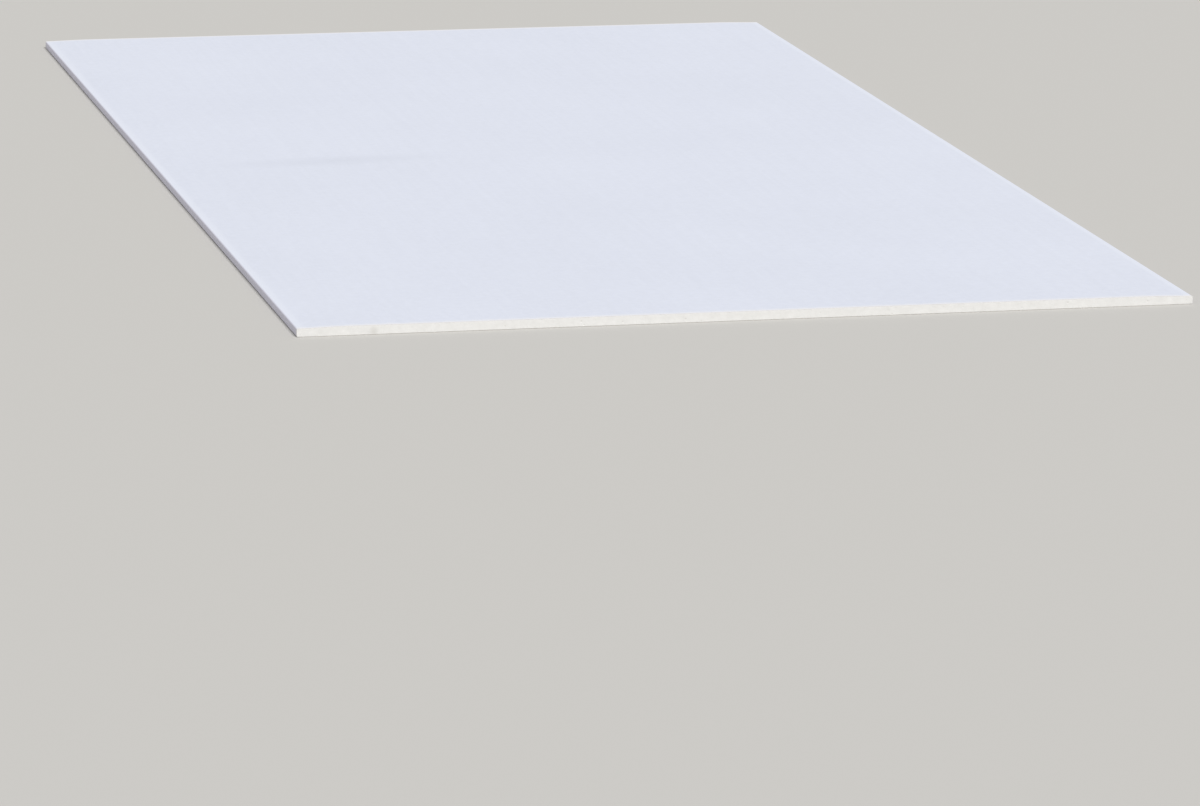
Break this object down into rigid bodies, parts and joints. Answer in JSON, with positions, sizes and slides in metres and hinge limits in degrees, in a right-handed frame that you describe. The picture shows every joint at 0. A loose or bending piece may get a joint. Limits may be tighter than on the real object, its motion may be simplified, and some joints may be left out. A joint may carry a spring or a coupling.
{
  "type": "drywall sheet",
  "caption": "Full sheet of paper-faced gypsum board with tapered long edges and square cut ends, lying flat with its face up.",
  "frame": {"origin": "middle of the back face, on the floor that the sheet lies on", "axes": "+Z out of the face, +Y along the length, X across the width from tapered edge to tapered edge"},
  "size_m": [1.2, 2.4, 0.0125],
  "materials": {
    "gypsum": "matte",
    "face_paper": "matte",
    "back_paper": "matte"
  },
  "bodies": {
    "root": {"gypsum_core": "gypsum", "face_paper": "face_paper", "back_paper": "back_paper"}
  },
  "joints": []
}
